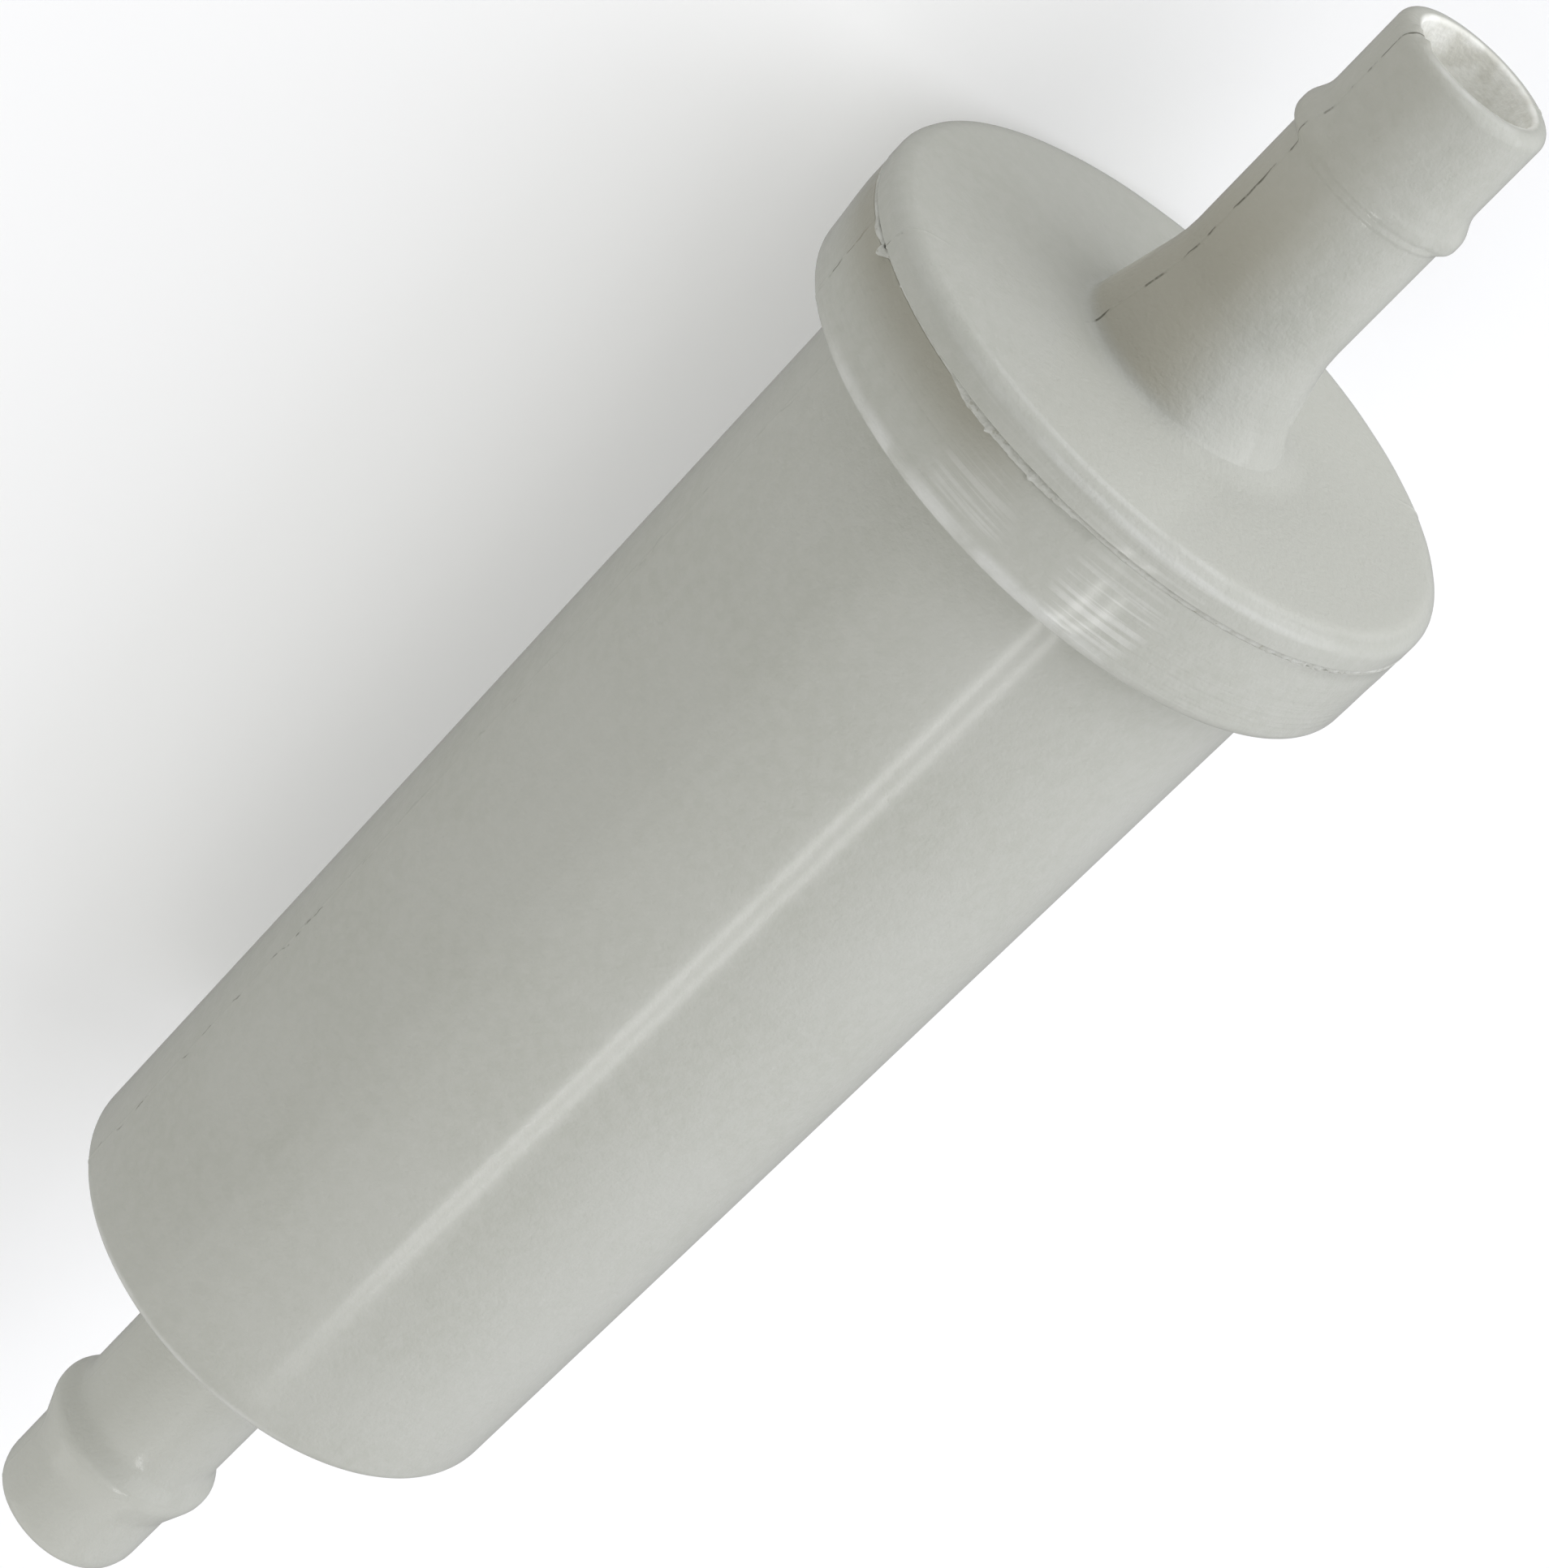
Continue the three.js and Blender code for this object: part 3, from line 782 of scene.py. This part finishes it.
class Shader:
    """A material under construction, with short ways to add its nodes. Its place is the object's
    own coordinates, in millimetres."""

    def __init__(self, name):
        self.material = bpy.data.materials.new(name)
        self.material.use_nodes = True
        self.tree = self.material.node_tree
        self.surface = self.tree.nodes["Principled BSDF"]
        metres = self.add("TexCoord", {}, "Object")
        self.place = self.add("VectorMath", {0: metres, "Scale": 1 / MM}, operation="SCALE")

    def add(self, kind, inputs, output=0, **settings):
        node = self.tree.nodes.new("ShaderNode" + kind)
        for setting, value in settings.items():
            setattr(node, setting, value)
        for key, value in inputs.items():
            self.put(node.inputs[key], value)
        return node.outputs[output]

    def put(self, socket, value):
        if isinstance(value, bpy.types.NodeSocket):
            self.tree.links.new(value, socket)
        else:
            socket.default_value = value

    def set(self, **values):
        """Values or colours for the surface's own sockets."""
        for name, value in values.items():
            socket = self.surface.inputs[name.replace("_", " ").title().replace("Ior", "IOR")]
            self.put(socket, value)

    def math(self, operation, first, second=0.0):
        return self.add("Math", {0: first, 1: second}, operation=operation)

    def product(self, first, *others):
        for other in others:
            first = self.math("MULTIPLY", first, other)
        return first

    def part(self, value, start, end, low=0.0, high=1.0):
        """low up to start, growing smoothly to high at end."""
        inputs = {"Value": value, "From Min": start, "From Max": end, "To Min": low, "To Max": high}
        return self.add("MapRange", inputs, interpolation_type="SMOOTHSTEP")

    def noise(self, scale, detail=2.0, stretch=None):
        place = self.place
        if stretch is not None:
            place = self.add("VectorMath", {0: place, 1: stretch}, operation="MULTIPLY")
        return self.add("TexNoise", {"Vector": place, "Scale": scale, "Detail": detail})

    def clouds(self, scale, detail, start, end, low=0.0, high=1.0, stretch=None):
        """Noise that is low where it is under start, growing smoothly to high at end."""
        return self.part(self.noise(scale, detail, stretch), start, end, low, high)

    def towards(self, degrees):
        """How far the place lies from the axis, in millimetres, towards an angle around it."""
        across = math.radians(degrees) - CAMERA_SIDE
        direction = (0.0, -math.sin(across), math.cos(across))
        inputs = {0: self.place, 1: direction}
        return self.add("VectorMath", inputs, "Value", operation="DOT_PRODUCT")

    def station_and_radius(self):
        along, y, z = self.add("SeparateXYZ", {0: self.place}).node.outputs
        square = self.math("ADD", self.product(y, y), self.product(z, z))
        return self.math("ADD", along, -INLET_TIP / MM), self.math("POWER", square, 0.5)

    def mix(self, factor, first, second):
        inputs = {0: factor, 6: opaque(first), 7: opaque(second)}
        return self.add("Mix", inputs, 2, data_type="RGBA")

    def bumped(self, height, reach, under=None):
        """A normal whose surface stands out by reach millimetres where height is 1."""
        inputs = {"Height": height, "Distance": reach * MM, "Strength": 1.0}
        if under is not None:
            inputs["Normal"] = under
        return self.add("Bump", inputs)


def opaque(colour):
    return colour if isinstance(colour, bpy.types.NodeSocket) else (*colour, 1.0)


def housing_plastic(name, seam, dirt, local_tones):
    """The plastic of the cup and the cap, with painted light, shade and highlights in its colour.
    local_tones adds what only one of them has, painted light and shade among it: it takes the
    shader, stations, radii, colour and strength of the seam's mark, and gives the last two back."""
    shade = Shader(name)
    station, radius = shade.station_and_radius()
    colour = shade.mix(shade.clouds(0.1, 3.0, 0.35, 0.65), *PLASTIC_TONES)
    fine = shade.clouds(1.6, 3.0, 0.3, 0.7)
    colour = shade.mix(shade.product(fine, 0.5), colour, FINE_MOTTLE)
    colour = shade.mix(shade.product(resin_specks(shade), 0.6), colour, BURNT_RESIN)

    mark = seam_mark(shade, radius, seam)
    colour, mark = local_tones(shade, station, radius, colour, mark)
    colour = shade.mix(shade.product(mark, dirt), colour, SEAM_GRIME)

    # Painted shade: the band under the cap's overhang is painted darker and more olive, where the
    # overhang shades it
    painted_shade_under_cap = shade.product(shade.part(station, *SHADE_UNDER_CAP_START),
                              shade.part(station, *SHADE_UNDER_CAP_END, 1.0, 0.0),
                              shade.part(shade.towards(-45), 10.2, 13.6))
    colour = shade.mix(shade.product(painted_shade_under_cap, 0.8), colour, BAND_PAINTED_SHADE)

    # Painted highlights: edges are painted a shade whiter, most towards one angle, in a broken line
    in_places = shade.clouds(0.5, 3.0, 0.3, 0.6, 0.25, 1.0)
    for edge in HIGHLIGHTED_EDGES:
        edge_highlight = shade.product(painted_edge_highlight(shade, station, radius, *edge), in_places)
        colour = shade.mix(edge_highlight, colour, EDGE_HIGHLIGHT_WHITE)

    # Painted light: inside the bore the colour is painted near white, in patches, for the light
    # that the thin wall lets through
    bore = shade.part(radius, BORE_RADIUS + 0.05, BORE_RADIUS + 0.3, 1.0, 0.0)
    stained = shade.clouds(0.7, 3.0, 0.4, 0.62)
    colour = shade.mix(bore, colour, shade.mix(stained, *BORE_PAINTED_LIGHT))

    # The band is finely scratched all round, and whitened in patches; the patch at the band's
    # highlight is a painted highlight
    rings = shade.noise(1.0, 2.0, (5.5, 0.12, 0.12))
    in_band = shade.product(shade.part(station, *SCRATCHES_START),
                            shade.part(station, *SCRATCHES_FADE, 1.0, 0.3))
    for middle, whiteness in BAND_WHITE_PATCHES:
        side = shade.towards(middle)
        patch = shade.part(side, 0.978 * FLANGE_RADIUS, 0.99 * FLANGE_RADIUS)
        whitening = shade.part(rings, 0.47, 0.62, 0.0, whiteness)
        colour = shade.mix(shade.product(patch, in_band, whitening), colour, BAND_PATCH_WHITE)

    normal = shade.bumped(shade.noise(4.8), 0.032)
    normal = shade.bumped(shade.noise(2.3), 0.02, normal)
    normal = shade.bumped(shade.product(rings, in_band), 0.04, normal)
    rough = shade.clouds(1.3, 3.0, 0.3, 0.7, 0.36, 0.46)
    shade.set(base_color=colour, roughness=rough, normal=normal, specular_ior_level=0.02,
              coat_weight=0.7, coat_roughness=0.15, coat_ior=1.35)
    return shade.material


def resin_specks(shade):
    """Where the few dark specks of burnt resin are."""
    cells = shade.add("TexVoronoi", {"Vector": shade.place, "Scale": 0.3}).node
    dot = shade.part(cells.outputs["Distance"], 0.012, 0.03, 1.0, 0.0)
    pick = shade.add("SeparateXYZ", {0: cells.outputs["Color"]})
    return shade.product(dot, shade.part(pick, 0.86, 0.88))


def seam_mark(shade, radius, seam):
    """Grime in the broken, wandering line where the mould's halves met."""
    offset = shade.towards(math.degrees(seam) - 90)
    wander = shade.product(shade.clouds(0.55, 3.0, 0.25, 0.75, -0.5, 0.5),
                           shade.part(radius, 4.6, 12.0, 0.16, 0.5))
    offset = shade.math("ABSOLUTE", shade.math("ADD", offset, wander))
    line = shade.part(offset, 0.02, 0.075, 1.0, 0.0)
    broken = shade.clouds(1.1, 4.0, 0.48, 0.6, stretch=(1.0, 0.3, 0.3))
    outer = shade.part(radius, BORE_RADIUS + 0.02, BORE_RADIUS + 0.1)
    return shade.product(line, broken, outer)


def cap_tones(shade, station, radius, colour, mark):
    # The mark skips the cap's face and shows at one of the two seams only
    on_face = shade.part(radius, 5.4, 6.0)
    on_rim = shade.part(radius, 13.0, 13.5)
    clear = shade.math("SUBTRACT", 1.0, shade.math("SUBTRACT", on_face, on_rim))
    mark = shade.product(mark, clear, shade.part(shade.towards(math.degrees(CAP_SEAM)), 0.0, 1.0))
    # Painted light: the face is painted a shade paler on its upper side, where more light falls on
    # it
    upper = shade.product(shade.part(shade.towards(85), -4.0, 9.0),
                          shade.part(station, *CAP_PAINTED_LIGHT_START),
                          shade.part(radius, 4.9, 6.4))
    colour = shade.mix(shade.product(upper, 0.8), colour, CAP_PAINTED_LIGHT)
    # Painted shade: the stem is painted darker and warmer on its shaded side, from its root and
    # fading along it
    stem_painted_shade = shade.product(shade.part(station, *OUTLET_PAINTED_SHADE_START),
                         shade.part(station, *OUTLET_PAINTED_SHADE_FADE, 1.0, 0.3),
                         shade.part(shade.towards(-58), 0.7, 3.7))
    colour = shade.mix(shade.product(stem_painted_shade, 0.75), colour, OUTLET_PAINTED_SHADE)
    return colour, mark


def cup_tones(shade, station, radius, colour, mark):
    # The mark fades along the body, comes back on the flange and stays off the stem
    on_flange = shade.part(station, *FLANGE_MARK_START)
    on_body = shade.part(station, *CUP_MARK_FADE, 1.0, 0.25)
    mark = shade.product(mark, shade.math("ADD", on_body, on_flange), shade.part(radius, 4.8, 5.4))
    # Painted light: the stem is painted a shade paler on its near side
    pale = shade.product(shade.part(shade.towards(-22), 0.3, 3.4),
                         shade.part(radius, 4.7, 5.4, 1.0, 0.0))
    colour = shade.mix(shade.product(pale, 0.85), colour, INLET_PAINTED_LIGHT)
    return colour, mark


def painted_edge_highlight(shade, station, radius, edge_station, edge_radius, half_width, middle, strength):
    """How white the painted highlight on an edge is, most at its line and towards its middle angle.
    """
    gap = shade.add("CombineXYZ", {0: shade.math("SUBTRACT", station, edge_station),
                                   1: shade.math("SUBTRACT", radius, edge_radius)})
    gap = shade.add("VectorMath", {0: gap}, "Value", operation="LENGTH")
    return shade.product(
        shade.part(gap, 0.3 * half_width, half_width, 1.0, 0.0),
        shade.part(shade.towards(middle), 0.7 * edge_radius, 0.97 * edge_radius, 0.04, strength),
    )


def weld_plastic():
    shade = Shader("weld_resin")
    tone = shade.clouds(1.7, 3.0, 0.35, 0.65)
    colour = shade.mix(tone, (0.475, 0.478, 0.43), (0.55, 0.555, 0.51))
    pits = shade.clouds(2.4, 2.0, 0.3, 0.36, 1.0, 0.0)
    colour = shade.mix(shade.product(pits, 0.5), colour, (0.3, 0.29, 0.22))
    normal = shade.bumped(shade.noise(6.0, 3.0), 0.06)
    rough = shade.part(tone, 0.0, 1.0, 0.4, 0.55)
    shade.set(base_color=colour, roughness=rough, normal=normal)
    return shade.material


def natural_plastic(name, lighter=0.0):
    shade = Shader(name)
    dark = tuple(level + lighter for level in (0.66, 0.64, 0.54))
    light = tuple(level + lighter for level in (0.7, 0.685, 0.59))
    colour = shade.mix(shade.clouds(0.25, 3.0, 0.35, 0.65), dark, light)
    normal = shade.bumped(shade.noise(3.5), 0.008)
    rough = shade.clouds(1.2, 2.0, 0.3, 0.7, 0.38, 0.5)
    shade.set(base_color=colour, roughness=rough, normal=normal)
    return shade.material


def filter_paper():
    shade = Shader("resin_paper")
    fibres = shade.noise(3.0, 5.0, (1.0, 3.0, 3.0))
    colour = shade.mix(shade.part(fibres, 0.3, 0.7), (0.56, 0.41, 0.18), (0.65, 0.5, 0.25))
    cloud = shade.clouds(0.3, 2.0, 0.35, 0.65)
    colour = shade.mix(shade.product(cloud, 0.3), colour, (0.5, 0.36, 0.15))
    normal = shade.bumped(fibres, 0.03)
    rough = shade.part(fibres, 0.3, 0.7, 0.85, 0.97)
    shade.set(base_color=colour, roughness=rough, normal=normal)
    return shade.material


def cured_adhesive(name):
    shade = Shader(name)
    tone = shade.clouds(0.9, 3.0, 0.35, 0.65)
    colour = shade.mix(tone, (0.21, 0.055, 0.014), (0.29, 0.09, 0.025))
    normal = shade.bumped(shade.noise(1.4), 0.03)
    rough = shade.clouds(2.2, 2.0, 0.3, 0.7, 0.22, 0.38)
    shade.set(base_color=colour, roughness=rough, normal=normal)
    return shade.material


def floor_paper():
    shade = Shader("floor_paper")
    tone = shade.clouds(0.02, 2.0, 0.3, 0.7)
    colour = shade.mix(tone, (0.715, 0.715, 0.71), (0.725, 0.725, 0.722))
    shade.set(base_color=colour, roughness=0.9, emission_color=(1, 1, 1, 1), emission_strength=0.25)
    return shade.material


# ---- light and floor ----------------------------------------------------------------------------

WHITE = (1.0, 1.0, 1.0)
COOL = (0.955, 0.966, 1.0)
BLUISH = (0.85, 0.86, 1.0)
BROAD = (1000, 1000)

# The two narrow tubes light the gloss only, and are seen as strands along the body
TUBE_SIZE = (192, 14)
TUBE_POWER = 0.205
TUBE_MIDDLE = (-261, 0, 0)


def add_panel(name, direction, distance, size, power, colour, middle=(0, 0, 0), skew=0.0,
              diffuse=True, glossy=True):
    """A rectangular light that faces the flow axis from a direction, its first side lying along the
    axis as nearly as it can. Distance, size and middle are in millimetres, and skew turns the panel
    about the line from its middle to the axis. Without diffuse it lights the gloss only, and
    without glossy it isn't reflected in it."""
    outward = Vector(direction).normalized()
    data = bpy.data.lights.new(name, "AREA")
    data.shape = "RECTANGLE"
    data.size = size[0] * MM
    data.size_y = size[1] * MM
    data.energy = power
    data.color = colour
    light = bpy.data.objects.new(name, data)
    side = outward.cross(FLOW).normalized()
    turned = axes(side.cross(outward), side, outward) @ Matrix.Rotation(skew, 4, "Z")
    light.matrix_world = Matrix.Translation(MM * (Vector(middle) + distance * outward)) @ turned
    light.visible_camera = False
    light.visible_diffuse = diffuse
    light.visible_glossy = glossy
    bpy.context.scene.collection.objects.link(light)


def off_near(angle):
    """The direction at an angle, in degrees, around the flow axis from the camera's side."""
    return math.cos(math.radians(angle)) * NEAR + math.sin(math.radians(angle)) * ASIDE


def add_lights():
    add_panel("side_softbox", off_near(100), 600, BROAD, 2.35, BLUISH, glossy=False)
    add_panel("front_softbox", 0.67 * FLOW + 0.71 * ASIDE + 0.23 * NEAR, 600, BROAD, 4.75, COOL)
    add_panel("back_softbox", -0.83 * FLOW + 0.55 * NEAR, 600, (800, 800), 1.62, WHITE)
    add_panel("top_softbox", off_near(4), 560, (420, 560), 0.6, WHITE, (-250, 0, 0))
    add_panel("tube_one", off_near(27.7), 500, TUBE_SIZE, TUBE_POWER, WHITE, TUBE_MIDDLE, -0.19,
              diffuse=False)
    add_panel("tube_two", off_near(34.2), 500, TUBE_SIZE, TUBE_POWER, WHITE, TUBE_MIDDLE, -0.39,
              diffuse=False)
    world = bpy.data.worlds.new("studio")
    world.use_nodes = True
    background = world.node_tree.nodes["Background"]
    background.inputs["Color"].default_value = (1.0, 0.995, 0.97, 1)
    background.inputs["Strength"].default_value = 0.3
    bpy.context.scene.world = world


def add_floor():
    """A pale floor under the filter, which the gloss doesn't mirror."""
    bpy.ops.mesh.primitive_plane_add(size=40, location=(0, 0, FLOOR_HEIGHT))
    floor = bpy.context.object
    floor.name = "studio_floor"
    floor.data.materials.append(floor_paper())
    floor.visible_glossy = False


# ---- the scene ----------------------------------------------------------------------------------

bpy.context.scene.view_settings.view_transform = "Standard"
add_camera()
add_housing()
add_weld()
add_open_disc()
add_closed_disc()
add_core_tube()
add_paper()
add_adhesive("inlet_end_adhesive", "inlet_potting", 0.4, 1)
add_adhesive("outlet_end_adhesive", "outlet_potting", 2.1, -1)
add_lights()
add_floor()
